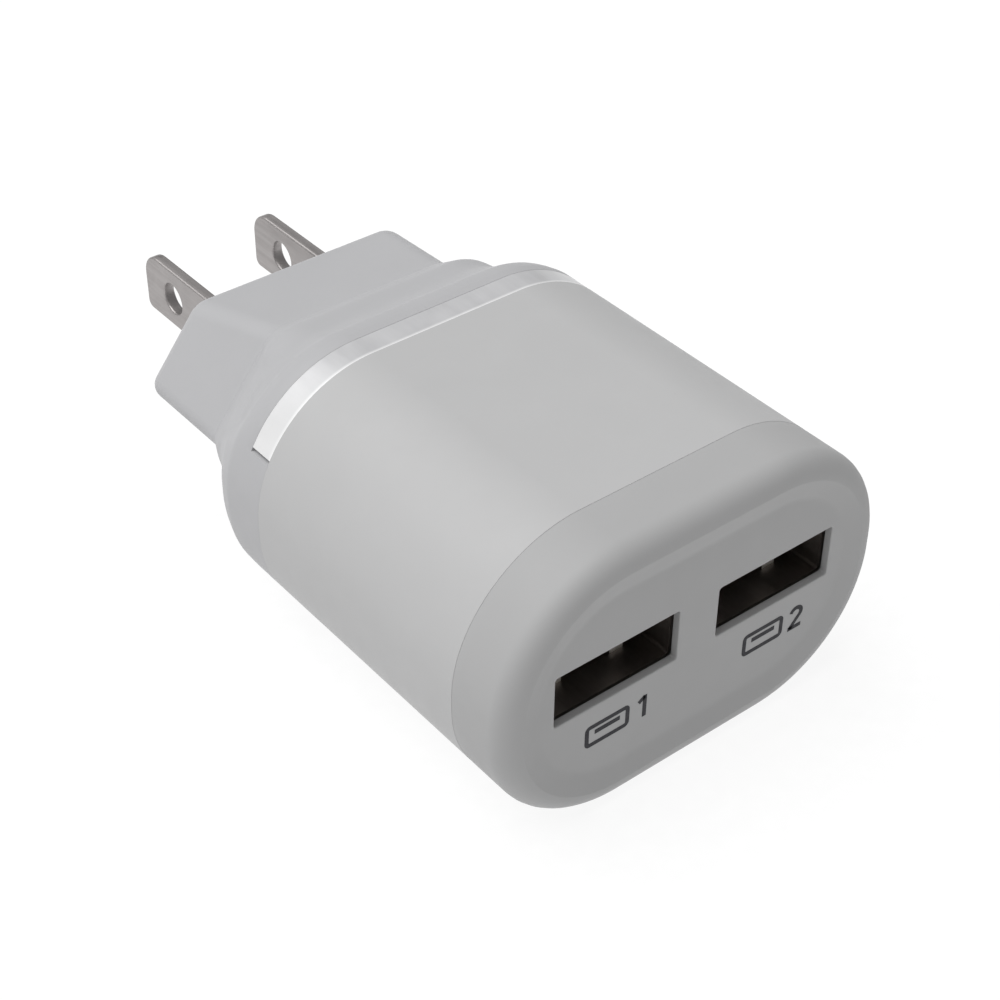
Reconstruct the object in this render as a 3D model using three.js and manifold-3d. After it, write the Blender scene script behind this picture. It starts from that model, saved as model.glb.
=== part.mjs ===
// Dual-port wall charger with two flat blades, lying on its broad side.
// Millimetres, +Z up, +X across the two ports, +Y from the port face to the blade tips.
// Inside the model group, y is the distance behind the front rim and z is measured from mid-height.
import * as THREE from "three";
import { mergeVertices } from "three/addons/utils/BufferGeometryUtils.js";
import Module from "manifold-3d";

// Overall body: a prism whose section is a nearly full stadium
const OVERALL_LENGTH = 72.8;
const BODY_WIDTH = 40.1;
const BODY_HEIGHT = 25.8;
const CORNER_RADIUS = 12.2;
const WALL = 1.8;
const CLEARANCE = 0.3;
const SPIGOT_WALL = 1.2;
const SPIGOT_INSET = WALL + CLEARANCE;
const CAVITY_INSET = SPIGOT_INSET + SPIGOT_WALL;

// Stations along y, from the front rim to the blade tips
const FACE_Y = 0.5;
const FACE_THICKNESS = 2;
const PORT_LIP = 0.7;
const CAP_END = 6.3;
const SLEEVE_END = 32.7;
const BAND_END = 35.2;
const CAVITY_STEP_Y = 37.6;
const CREASE_Y = 45.8;
const HEAD_END = 57;
const SPIGOT_LENGTH = 2.9;
const SEAM = 0.1;

// Edges
const RIM_RADIUS = 2;
const RIM_LAND = 0.3;
const DISH_SLOPE = 0.25;
const SEAM_CHAMFER = 0.12;
const BAND_INSET = 0.1;

// The neck narrows from the full body to the head: [y, share at the sides, share at top and bottom]
const NECK = [
  [BAND_END, 0, 0],
  [36.2, 0, 0.01],
  [37.3, 0.01, 0.07],
  [38.2, 0.06, 0.2],
  [39.2, 0.16, 0.35],
  [40.1, 0.28, 0.46],
  [41, 0.44, 0.54],
  [42.2, 0.61, 0.58],
  [43.2, 0.74, 0.62],
  [44.4, 0.84, 0.8],
  [CREASE_Y, 1, 1],
];

// Plug head: a flattened hexagon
const FACET_ANGLE = THREE.MathUtils.degToRad(38.7);
const HEAD_VERTEX = 16.1;
const HEAD_VERTEX_RADIUS = 1.5;
const HEAD_TOP_RADIUS = 2.6;
const HEAD_TOP_AT_NECK = 8.9;
const HEAD_TOP_AT_END = 7.1;
const HEAD_END_RADIUS = 1.4;
const HEAD_END_WALL = 2;

// Blades of a two-pin plug
const BLADE_SPACING = 12.7;
const BLADE_HEIGHT = 6.35;
const BLADE_THICKNESS = 1.2;
const BLADE_START = 49;
const BLADE_TIP_TOP_RADIUS = 2.4;
const BLADE_TIP_BOTTOM_RADIUS = 0.8;
const BLADE_HOLE_RADIUS = 1.6;
const BLADE_HOLE_FROM_TIP = 5;
const BLADE_EDGE = 0.2;
const CARRIER = { halfWidth: 9.5, halfHeight: 4.1, thickness: 4.4 };

// Ports
const PORT_SPACING = 16.8;
const PORT_WIDTH = 12.6;
const PORT_HEIGHT = 5.05;
const PORT_Z = 1.17;
const SOCKET_WIDTH = 13.2;
const SOCKET_HEIGHT = 5.8;
const SOCKET_SHEET = 0.35;
const SOCKET_START = FACE_Y + PORT_LIP + CLEARANCE;
const SOCKET_END = 17.5;
const SPRING = { offset: 3.2, halfWidth: 0.95, tip: 4.2, root: 9.5, slit: 0.3 };
const FIXING_LEG = { front: 11.2, rear: 13, holeRadius: 1.3 };
const TONGUE_HALF_WIDTH = 5.55;
const BLOCK_HALF_WIDTH = 5.9;
const BLOCK_HALF_HEIGHT = 2.2;
const TONGUE_TIP = 5.7;
const TONGUE_ROOT = 14.4;
const TONGUE_THICKNESS = 1.84;
const TONGUE_UNDERSIDE = 0.1;
const LEAF_PLACES = [-3.5, -1, 1, 3.5];
const LEAF_WIDTH = 1;
const LEAF_THICKNESS = 0.25;
const LEAF_SLOT_WIDTH = 1.4;
const LEAF_SLOT_TOP = 0.9;
const LEAF_ROOT_Y = 14.1;
const LEAF_ROOT_Z = 0.55;
const TAIL_Y = SOCKET_END + 0.5;
const TAIL_HALF_WIDTH = 0.35;

// Circuit board, lying flat under the sockets
const BOARD_TOP = -2;
const BOARD_THICKNESS = 1.6;
const BOARD_BOTTOM = BOARD_TOP - BOARD_THICKNESS;
const BOARD_FRONT = FACE_Y + FACE_THICKNESS + CLEARANCE;
const SEAT = BOARD_TOP + CLEARANCE;
const PIN_RADIUS = 0.35;
const PIN_HOLE_RADIUS = 0.65;
const PIN_END = BOARD_BOTTOM - 1;
const UNDERSIDE = BOARD_BOTTOM - CLEARANCE;

// Half widths of the board, each with the y where it starts and ends
const BOARD_OUTLINE = [
  [15.4, BOARD_FRONT, 9.3],
  [17, 9.3, 29.2],
  [15, 29.2, 37.6],
  [11.4, 37.6, 42.3],
];

// Rails inside the sleeve, above and below the long edges of the board
const RAIL = { inner: 16.2, outer: 18.6, height: 1, front: 9.6, rear: 29.3 };

// Parts on the board, each at its x and y; pitch is the distance between its two pins
const LEAD = { x: 10.3, y: 40.9, radius: 0.7 };
const RESISTOR = { x: -6.4, y: 39.2, pitch: 7.2, radius: 1.6, length: 6, wire: 0.6 };
const BRIDGE = { x: [3.7, 9.3], y: [36.9, 40.3], height: 2.4, feet: [4.6, 8.4], footWidth: 0.8, reach: 0.7 };
const INDUCTOR = { x: 0, y: 37.6, pitch: 2.8, flange: 2.3, core: 1.3, winding: 2, height: 6 };
const Y_CAPACITOR = { x: -12.4, y: 27.3, pitch: 3.2, radius: 2.9, depth: 2.4, lift: 0.6 };
const OUTPUT_CAN = { y: 22, pitch: 2.5, radius: 3.15, height: 9, color: 0x2c5d4a };
const INPUT_CAN = { y: 33.4, pitch: 2.5, radius: 3.3, height: 8.8, color: 0x1f2a44 };
const CAPACITORS = [
  { name: "output_capacitor_1", x: -12.6, ...OUTPUT_CAN },
  { name: "output_capacitor_2", x: 12.6, ...OUTPUT_CAN },
  { name: "input_capacitor_1", x: -9.9, ...INPUT_CAN },
  { name: "input_capacitor_2", x: 9.9, ...INPUT_CAN },
];
const TRANSFORMER = { y: 24.4, z: SEAT + 5.8, pinY: 4.3, pinPlaces: [-3.6, 0, 3.6], flange: 3.3 };
const CHIP_FOOT = { reach: 0.7, inset: 0.5, thickness: 0.3 };

// Light guide: a strip bent over the top of the body, with a stem down to the indicator
const GUIDE_INSET = 0.15;
const GUIDE_THICKNESS = 1.5;
const GUIDE_LOWEST_Z = 6.6;
const GUIDE_END_GAP = 0.7;
const GUIDE_STEM_Y = 33.95;
const GUIDE_STEM_SIZE = 1.6;
const INDICATOR_HEIGHT = 1.1;

const wasm = await Module();
wasm.setup();

// ---------- solids ----------

// A closed geometry as a solid; faces that collapsed when vertices were merged are dropped.
function toSolid(geometry) {
  const bare = geometry.clone();
  bare.deleteAttribute("normal");
  bare.deleteAttribute("uv");
  const merged = mergeVertices(bare, 1e-4);
  const corners = merged.index.array;
  const kept = [];
  for (let i = 0; i < corners.length; i += 3) {
    const [a, b, c] = [corners[i], corners[i + 1], corners[i + 2]];
    if (a !== b && b !== c && c !== a) kept.push(a, b, c);
  }
  const vertProperties = new Float32Array(merged.attributes.position.array);
  const triVerts = new Uint32Array(kept);
  return new wasm.Manifold(new wasm.Mesh({ numProp: 3, vertProperties, triVerts }));
}

function toGeometry(solid) {
  const mesh = solid.getMesh();
  const positions = new Float32Array(mesh.numVert * 3);
  for (let i = 0; i < mesh.numVert; i++) {
    const start = i * mesh.numProp;
    positions.set(mesh.vertProperties.subarray(start, start + 3), i * 3);
  }
  const geometry = new THREE.BufferGeometry();
  geometry.setAttribute("position", new THREE.BufferAttribute(positions, 3));
  geometry.setIndex(new THREE.BufferAttribute(mesh.triVerts, 1));
  return geometry;
}

// A box given by its ranges along x, y and z
function box([x0, x1], [y0, y1], [z0, z1]) {
  const geometry = new THREE.BoxGeometry(x1 - x0, y1 - y0, z1 - z0);
  geometry.translate((x0 + x1) / 2, (y0 + y1) / 2, (z0 + z1) / 2);
  return toSolid(geometry);
}

// An upright cylinder
function pillar(x, y, z0, z1, radius, sides = 24) {
  const geometry = new THREE.CylinderGeometry(radius, radius, z1 - z0, sides);
  geometry.rotateX(Math.PI / 2);
  geometry.translate(x, y, (z0 + z1) / 2);
  return toSolid(geometry);
}

const pin = (x, y, top) => pillar(x, y, PIN_END, top, PIN_RADIUS, 6);

// A side view, drawn in y and z, given a width along x
function sideExtrusion(shape, x, width, bevel = 0) {
  const geometry = new THREE.ExtrudeGeometry(shape, {
    depth: width - 2 * bevel,
    curveSegments: 10,
    bevelEnabled: bevel > 0,
    bevelSize: bevel,
    bevelOffset: -bevel,
    bevelThickness: bevel,
    bevelSegments: 1,
  });
  const turn = new THREE.Matrix4().set(0, 0, 1, 0, 1, 0, 0, 0, 0, 1, 0, 0, 0, 0, 0, 1);
  geometry.applyMatrix4(turn);
  geometry.translate(x - width / 2 + bevel, 0, 0);
  return toSolid(geometry);
}

const joined = (solids) => solids.reduce((sum, next) => sum.add(next));

const ordered = (a, b) => [Math.min(a, b), Math.max(a, b)];

// ---------- cross-sections ----------

// A section is six rounded corners: one at the middle of each side and four at top and bottom.
const straightX = BODY_WIDTH / 2 - CORNER_RADIUS;
const straightZ = BODY_HEIGHT / 2 - CORNER_RADIUS;

function bodySection(inset = 0) {
  const radius = CORNER_RADIUS - inset;
  const corner = { x: straightX, z: straightZ, radius };
  return { side: corner, top: { ...corner } };
}

function headSection(top, inset = 0) {
  const [normalX, normalZ] = [Math.cos(FACET_ANGLE), Math.sin(FACET_ANGLE)];
  const sideRadius = Math.max(HEAD_VERTEX_RADIUS - inset, 0.3);
  const topRadius = Math.max(HEAD_TOP_RADIUS - inset, 0.3);
  const centre = HEAD_VERTEX - HEAD_VERTEX_RADIUS;
  const facet = normalX * centre + HEAD_VERTEX_RADIUS - inset;
  const topZ = top - inset - topRadius;
  return {
    side: { x: (facet - sideRadius) / normalX, z: 0, radius: sideRadius },
    top: { x: (facet - topRadius - normalZ * topZ) / normalX, z: topZ, radius: topRadius },
  };
}

function blend(first, second, sides, top) {
  const mix = (a, b, share) => ({
    x: THREE.MathUtils.lerp(a.x, b.x, share),
    z: THREE.MathUtils.lerp(a.z, b.z, share),
    radius: THREE.MathUtils.lerp(a.radius, b.radius, share),
  });
  return { side: mix(first.side, second.side, sides), top: mix(first.top, second.top, top) };
}

function ring({ side, top }, y) {
  const [half, quarter] = [Math.PI, Math.PI / 2];
  const arcs = [
    [side, 1, 1, 0, FACET_ANGLE, 3],
    [top, 1, 1, FACET_ANGLE, quarter, 5],
    [top, -1, 1, quarter, half - FACET_ANGLE, 5],
    [side, -1, 1, half - FACET_ANGLE, half, 3],
    [side, -1, -1, half, half + FACET_ANGLE, 3],
    [top, -1, -1, half + FACET_ANGLE, 3 * quarter, 5],
    [top, 1, -1, 3 * quarter, 2 * half - FACET_ANGLE, 5],
    [side, 1, -1, 2 * half - FACET_ANGLE, 2 * half, 3],
  ];
  const points = [];
  for (const [corner, signX, signZ, from, to, steps] of arcs) {
    for (let i = 0; i <= steps; i++) {
      const angle = THREE.MathUtils.lerp(from, to, i / steps);
      const x = signX * corner.x + corner.radius * Math.cos(angle);
      const z = signZ * corner.z + corner.radius * Math.sin(angle);
      points.push(new THREE.Vector3(x, y, z));
    }
  }
  return points;
}

// A solid through a row of [section, y] pairs, closed by a fan at each end
function loft(stations) {
  const rings = stations.map(([section, y]) => ring(section, y));
  const size = rings[0].length;
  const points = rings.flat();
  const faces = [];
  for (let r = 0; r + 1 < rings.length; r++) {
    for (let i = 0; i < size; i++) {
      const next = (i + 1) % size;
      const [a, b] = [r * size + i, r * size + next];
      faces.push(a, a + size, b, b, a + size, b + size);
    }
  }
  const last = (rings.length - 1) * size;
  const front = points.push(new THREE.Vector3(0, stations[0][1], 0)) - 1;
  const rear = points.push(new THREE.Vector3(0, stations.at(-1)[1], 0)) - 1;
  for (let i = 0; i < size; i++) {
    const next = (i + 1) % size;
    faces.push(front, i, next, rear, last + next, last + i);
  }
  const geometry = new THREE.BufferGeometry().setFromPoints(points);
  geometry.setIndex(faces);
  return toSolid(geometry);
}

// A plain length of the body section
const bodyPrism = (inset, y0, y1) => loft([
  [bodySection(inset), y0],
  [bodySection(inset), y1],
]);

// ---------- casing ----------

// A block through the face at one port, wider than the given sizes by a margin all round
function portBlock(x, width, height, margin, y0, y1) {
  const [halfWidth, halfHeight] = [width / 2 + margin, height / 2 + margin];
  return box([x - halfWidth, x + halfWidth], [y0, y1], [PORT_Z - halfHeight, PORT_Z + halfHeight]);
}

// The opening that a plug enters, and behind its lip the seat of the socket
function portOpening(x) {
  const seatStart = FACE_Y + PORT_LIP;
  const seatEnd = FACE_Y + FACE_THICKNESS + 1;
  const seat = portBlock(x, SOCKET_WIDTH, SOCKET_HEIGHT, CLEARANCE, seatStart, seatEnd);
  return portBlock(x, PORT_WIDTH, PORT_HEIGHT, 0, -1, seatEnd).add(seat);
}

function frontCap() {
  const rimSteps = 5;
  const stations = [];
  for (let i = 0; i <= rimSteps; i++) {
    const angle = (i / rimSteps) * (Math.PI / 2);
    const inset = RIM_RADIUS * (1 - Math.sin(angle));
    stations.push([bodySection(inset), RIM_RADIUS * (1 - Math.cos(angle))]);
  }
  const end = CAP_END - SEAM / 2;
  stations.push([bodySection(), end - SEAM_CHAMFER]);
  stations.push([bodySection(SEAM_CHAMFER), end]);
  const dishInset = RIM_RADIUS + RIM_LAND;
  const dish = loft([
    [bodySection(dishInset - DISH_SLOPE / FACE_Y), -1],
    [bodySection(dishInset), 0],
    [bodySection(dishInset + DISH_SLOPE * 0.4), FACE_Y * 0.7],
    [bodySection(dishInset + DISH_SLOPE), FACE_Y],
  ]);
  const spigot = bodyPrism(SPIGOT_INSET, CAP_END - 1, CAP_END + SPIGOT_LENGTH);
  const cavity = bodyPrism(CAVITY_INSET, FACE_Y + FACE_THICKNESS, CAP_END + SPIGOT_LENGTH + 1);
  let cap = loft(stations).add(spigot).subtract(cavity).subtract(dish);
  for (const side of [-1, 1]) cap = cap.subtract(portOpening((side * PORT_SPACING) / 2));
  return cap;
}

function mainSleeve() {
  const start = CAP_END + SEAM / 2;
  const end = SLEEVE_END - SEAM / 2;
  const outside = loft([
    [bodySection(SEAM_CHAMFER), start],
    [bodySection(), start + SEAM_CHAMFER],
    [bodySection(), end - SEAM_CHAMFER],
    [bodySection(SEAM_CHAMFER), end],
  ]);
  let sleeve = outside.subtract(bodyPrism(WALL, start - 1, end + 1));
  const inside = bodyPrism(WALL / 2, start, end);
  for (const side of [-1, 1]) {
    const across = ordered(side * RAIL.inner, side * RAIL.outer);
    for (const z of [SEAT, UNDERSIDE - RAIL.height]) {
      const bar = box(across, [RAIL.front, RAIL.rear], [z, z + RAIL.height]);
      sleeve = sleeve.add(bar.intersect(inside));
    }
  }
  return sleeve;
}

function neckSections(inset) {
  const [body, head] = [bodySection(inset), headSection(HEAD_TOP_AT_NECK, inset)];
  return NECK.map(([y, sides, top]) => [blend(body, head, sides, top), y]);
}

function guideRecess() {
  const around = bodyPrism(-1, SLEEVE_END - 1, BAND_END);
  const core = bodyPrism(GUIDE_INSET + GUIDE_THICKNESS + CLEARANCE, SLEEVE_END - 2, BAND_END + 1);
  const above = box([-30, 30], [0, 60], [GUIDE_LOWEST_Z - GUIDE_END_GAP, 20]);
  const half = GUIDE_STEM_SIZE / 2 + CLEARANCE;
  const stemHole = box([-half, half], [GUIDE_STEM_Y - half, GUIDE_STEM_Y + half], [5, 12]);
  return around.subtract(core).intersect(above).add(stemHole);
}

function bladeBox(x, clearance, y0, y1) {
  const halfX = BLADE_THICKNESS / 2 + clearance;
  const halfZ = BLADE_HEIGHT / 2 + clearance;
  return box([x - halfX, x + halfX], [y0, y1], [-halfZ, halfZ]);
}

// Stations that round an edge off where a section ends at y
function roundedEnd(sectionAt, y, radius, steps = 4) {
  const stations = [];
  for (let i = 0; i <= steps; i++) {
    const angle = (i / steps) * (Math.PI / 2);
    stations.push([sectionAt(radius * (1 - Math.cos(angle))), y - radius * (1 - Math.sin(angle))]);
  }
  return stations;
}

function rearShell() {
  const bandStart = SLEEVE_END + SEAM / 2;
  const endTop = HEAD_TOP_AT_END;
  const spigotStart = SLEEVE_END - SPIGOT_LENGTH;
  const outside = joined([
    bodyPrism(SPIGOT_INSET, spigotStart, bandStart + 1),
    loft([
      [bodySection(BAND_INSET + SEAM_CHAMFER), bandStart],
      [bodySection(BAND_INSET), bandStart + SEAM_CHAMFER],
      [bodySection(BAND_INSET), BAND_END],
      ...neckSections(0),
      ...roundedEnd((inset) => headSection(endTop, inset), HEAD_END, HEAD_END_RADIUS),
    ]),
  ]);
  const inside = loft([
    [bodySection(CAVITY_INSET), spigotStart - 1],
    [bodySection(CAVITY_INSET), CAVITY_STEP_Y],
    ...neckSections(WALL).filter(([, y]) => y > CAVITY_STEP_Y),
    [headSection(endTop, WALL), HEAD_END - HEAD_END_WALL],
  ]);
  let shell = outside.subtract(inside).subtract(guideRecess());
  for (const side of [-1, 1]) {
    shell = shell.subtract(bladeBox((side * BLADE_SPACING) / 2, CLEARANCE, BLADE_START, HEAD_END + 1));
  }
  return shell;
}

function lightGuide() {
  const margin = SEAM / 2 + 0.1;
  const [y0, y1] = [SLEEVE_END + margin, BAND_END - margin];
  const strip = bodyPrism(GUIDE_INSET, y0, y1)
    .subtract(bodyPrism(GUIDE_INSET + GUIDE_THICKNESS, y0 - 1, y1 + 1))
    .intersect(box([-30, 30], [0, 60], [GUIDE_LOWEST_Z, 20]));
  const half = GUIDE_STEM_SIZE / 2;
  const stemTop = BODY_HEIGHT / 2 - GUIDE_INSET - GUIDE_THICKNESS / 2;
  const stemEnd = SEAT + INDICATOR_HEIGHT + CLEARANCE;
  const stem = box([-half, half], [GUIDE_STEM_Y - half, GUIDE_STEM_Y + half], [stemEnd, stemTop]);
  return strip.add(stem);
}

// ---------- mains side ----------

function blade(x) {
  const half = BLADE_HEIGHT / 2;
  const tip = OVERALL_LENGTH;
  const [low, high] = [BLADE_TIP_BOTTOM_RADIUS, BLADE_TIP_TOP_RADIUS];
  const shape = new THREE.Shape();
  shape.moveTo(BLADE_START, -half);
  shape.lineTo(tip - low, -half);
  shape.absarc(tip - low, -half + low, low, -Math.PI / 2, 0);
  shape.absarc(tip - high, half - high, high, 0, Math.PI / 2);
  shape.lineTo(BLADE_START, half);
  shape.closePath();
  const hole = new THREE.Path();
  hole.absarc(tip - BLADE_HOLE_FROM_TIP, 0, BLADE_HOLE_RADIUS, 0, 2 * Math.PI, true);
  shape.holes.push(hole);
  return sideExtrusion(shape, x, BLADE_THICKNESS, BLADE_EDGE);
}

function bladeCarrier() {
  const innerEnd = HEAD_END - HEAD_END_WALL - CLEARANCE;
  const { halfWidth, halfHeight, thickness } = CARRIER;
  const depth = [innerEnd - thickness, innerEnd];
  let carrier = box([-halfWidth, halfWidth], depth, [-halfHeight, halfHeight]);
  for (const side of [-1, 1]) {
    carrier = carrier.subtract(bladeBox((side * BLADE_SPACING) / 2, CLEARANCE, BLADE_START, HEAD_END));
  }
  return carrier;
}

// A lead wire from the inner end of a blade, down through the board
function leadWire(side) {
  const route = new THREE.CatmullRomCurve3([
    new THREE.Vector3((side * BLADE_SPACING) / 2, BLADE_START - CLEARANCE, 0),
    new THREE.Vector3(side * 6.6, 46.2, 0.6),
    new THREE.Vector3(side * 8.6, 43, 0.4),
    new THREE.Vector3(side * LEAD.x, LEAD.y + 0.3, -1.2),
    new THREE.Vector3(side * LEAD.x, LEAD.y, BOARD_BOTTOM - 0.8),
  ]);
  const section = new THREE.Shape();
  section.absarc(0, 0, LEAD.radius, 0, 2 * Math.PI);
  const options = { steps: 16, curveSegments: 8, extrudePath: route, bevelEnabled: false };
  return toSolid(new THREE.ExtrudeGeometry(section, options));
}

// ---------- parts on the board ----------

const pinsAlongX = ({ x, y, pitch }) => [[x - pitch / 2, y], [x + pitch / 2, y]];
const pinsAlongY = ({ x, y, pitch }) => [[x, y - pitch / 2], [x, y + pitch / 2]];

// Each leg leaves the body along its axis, then turns down through the board.
function fusibleResistor() {
  const { x, y, radius, length, wire } = RESISTOR;
  const z = SEAT + radius;
  const half = wire / 2;
  const body = new THREE.CylinderGeometry(radius, radius, length, 16);
  body.rotateZ(Math.PI / 2);
  body.translate(x, y, z);
  const legs = pinsAlongX(RESISTOR).map(([bend]) => {
    const side = Math.sign(bend - x);
    const across = ordered(x + side * (length / 2 - half), bend + side * half);
    return box(across, [y - half, y + half], [z - half, z + half]).add(pin(bend, y, z));
  });
  return joined([toSolid(body), ...legs]);
}

function bridgeRectifier() {
  const { x, y, height, feet, footWidth, reach } = BRIDGE;
  const body = box(x, y, [SEAT, SEAT + height]);
  const soles = feet.map((place) => box(
    [place - footWidth / 2, place + footWidth / 2],
    [y[0] - reach, y[1] + reach],
    [SEAT - 0.1, SEAT + 0.2],
  ));
  return joined([body, ...soles]);
}

function filterInductor() {
  const { x, y, flange, core, winding, height } = INDUCTOR;
  const top = SEAT + height;
  const drum = [
    pillar(x, y, SEAT, SEAT + 1, flange, 20),
    pillar(x, y, SEAT, top, core, 16),
    pillar(x, y, top - 1, top, flange, 20),
    pillar(x, y, SEAT + 0.9, top - 0.9, winding, 20),
  ];
  return joined([...drum, ...pinsAlongY(INDUCTOR).map(([px, py]) => pin(px, py, SEAT + 0.5))]);
}

// The can is turned on a lathe: a crimp near its foot and a rounded top edge.
function capacitorCan(item) {
  const { x, y, radius, height } = item;
  const profile = [
    [0, 0],
    [radius - 0.2, 0],
    [radius, 0.3],
    [radius, 1],
    [radius - 0.35, 1.4],
    [radius, 1.8],
    [radius, height - 0.4],
    [radius - 0.4, height],
    [0, height],
  ].map(([r, z]) => new THREE.Vector2(r, z));
  const can = new THREE.LatheGeometry(profile, 20);
  can.rotateX(Math.PI / 2);
  can.translate(x, y, SEAT);
  return joined([toSolid(can), ...pinsAlongY(item).map(([px, py]) => pin(px, py, SEAT + 0.5))]);
}

function yCapacitor() {
  const { x, y, radius, depth, lift } = Y_CAPACITOR;
  const disc = new THREE.CylinderGeometry(radius, radius, depth, 20);
  disc.translate(x, y, SEAT + lift + radius);
  const pins = pinsAlongX(Y_CAPACITOR).map(([px, py]) => pin(px, py, SEAT + 1.8));
  return joined([toSolid(disc), ...pins]);
}

// ---------- transformer ----------

const bobbinPins = [-1, 1].flatMap((side) =>
  TRANSFORMER.pinPlaces.map((x) => [x, TRANSFORMER.y + side * TRANSFORMER.pinY]),
);

// A block centred on the transformer, given by its half sizes
function transformerBlock(halfX, halfY, halfZ, shiftX = 0, shiftZ = 0) {
  const [y, z] = [TRANSFORMER.y, TRANSFORMER.z + shiftZ];
  return box([shiftX - halfX, shiftX + halfX], [y - halfY, y + halfY], [z - halfZ, z + halfZ]);
}

function transformerCore() {
  let core = transformerBlock(8, 2.3, 5.8);
  for (const side of [-1, 1]) core = core.subtract(transformerBlock(1.65, 3, 4, side * 4.15));
  return core;
}

function transformerBobbin() {
  const { z, flange } = TRANSFORMER;
  const flanges = [-1, 1].map((side) => transformerBlock(5.4, 5.2, 0.35, 0, side * flange));
  const tube = transformerBlock(3.3, 3.1, 3.4);
  const bore = transformerBlock(2.8, 2.6, 5);
  const pins = bobbinPins.map(([px, py]) => pin(px, py, z - flange));
  return joined([joined([...flanges, tube]).subtract(bore), ...pins]);
}

const transformerWinding = () =>
  transformerBlock(5.2, 4.9, 2.6).subtract(transformerBlock(3.6, 3.4, 3));

// ---------- ports ----------

const portX = (port) => (port === 1 ? -PORT_SPACING / 2 : PORT_SPACING / 2);

function socketShell(port) {
  const [x, halfX, halfZ] = [portX(port), SOCKET_WIDTH / 2, SOCKET_HEIGHT / 2];
  const outside = portBlock(x, SOCKET_WIDTH, SOCKET_HEIGHT, 0, SOCKET_START, SOCKET_END);
  const bore = portBlock(x, SOCKET_WIDTH, SOCKET_HEIGHT, -SOCKET_SHEET, SOCKET_START - 1, SOCKET_END + 1);
  let shell = outside.subtract(bore);
  // Retention springs: tongues of the sheet itself, freed by a U-shaped slit
  const { offset, halfWidth, tip, root, slit } = SPRING;
  const reach = halfWidth + slit;
  for (const side of [-1, 1]) {
    const middle = x + side * offset;
    for (const wall of [-1, 1]) {
      const z = PORT_Z + wall * (halfZ - SOCKET_SHEET / 2);
      const sheet = [z - SOCKET_SHEET, z + SOCKET_SHEET];
      const cut = box([middle - reach, middle + reach], [tip - slit, root], sheet);
      const spring = box([middle - halfWidth, middle + halfWidth], [tip, root + 1], sheet);
      shell = shell.subtract(cut.subtract(spring));
    }
    // Fixing legs through the board
    const outer = x + side * halfX;
    const across = ordered(outer, outer - side * SOCKET_SHEET);
    shell = shell.add(box(across, [FIXING_LEG.front, FIXING_LEG.rear], [PIN_END, PORT_Z]));
  }
  return shell;
}

function leafSlot(x, y0, y1) {
  const half = LEAF_SLOT_WIDTH / 2;
  return box([x - half, x + half], [y0, y1], [PORT_Z + TONGUE_UNDERSIDE - 1, PORT_Z + LEAF_SLOT_TOP]);
}

function socketTongue(port) {
  const x = portX(port);
  const [low, high] = [PORT_Z + TONGUE_UNDERSIDE, PORT_Z + TONGUE_UNDERSIDE + TONGUE_THICKNESS];
  const blockEnd = SOCKET_END - CLEARANCE;
  const tongue = box(
    [x - TONGUE_HALF_WIDTH, x + TONGUE_HALF_WIDTH],
    [TONGUE_TIP, TONGUE_ROOT + 0.5],
    [low, high],
  );
  const block = box(
    [x - BLOCK_HALF_WIDTH, x + BLOCK_HALF_WIDTH],
    [TONGUE_ROOT, blockEnd],
    [PORT_Z - BLOCK_HALF_HEIGHT, PORT_Z + BLOCK_HALF_HEIGHT],
  );
  let insulator = tongue.add(block);
  for (const place of LEAF_PLACES) {
    insulator = insulator.subtract(leafSlot(x + place, TONGUE_TIP + 0.9, TONGUE_ROOT));
    const half = LEAF_SLOT_WIDTH / 2;
    const channel = box(
      [x + place - half, x + place + half],
      [TONGUE_ROOT - 1, SOCKET_END + 1],
      [low - CLEARANCE, PORT_Z + LEAF_SLOT_TOP],
    );
    insulator = insulator.subtract(channel);
  }
  return insulator;
}

// A contact leaf slopes down from its root to the bump that a plug presses, then curls up.
function contactLeaf(port, place) {
  const middle = [
    [LEAF_ROOT_Y, LEAF_ROOT_Z],
    [8.6, -0.2],
    [7.9, -0.2],
    [7.1, 0.1],
  ];
  const half = LEAF_THICKNESS / 2;
  const outline = [
    ...middle.map(([y, z]) => new THREE.Vector2(y, PORT_Z + z + half)),
    ...middle.map(([y, z]) => new THREE.Vector2(y, PORT_Z + z - half)).reverse(),
  ];
  return sideExtrusion(new THREE.Shape(outline), portX(port) + place, LEAF_WIDTH);
}

// The fixed end of the same strip: through the insulator, then down through the board
function contactTail(port, place) {
  const x = portX(port) + place;
  const across = [x - TAIL_HALF_WIDTH, x + TAIL_HALF_WIDTH];
  const half = LEAF_THICKNESS / 2;
  const z = PORT_Z + LEAF_ROOT_Z - 0.1;
  const run = box(across, [TONGUE_ROOT + 0.05, TAIL_Y + half], [z - half, z + half]);
  return run.add(box(across, [TAIL_Y - half, TAIL_Y + half], [PIN_END, z]));
}

// ---------- board ----------

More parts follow.
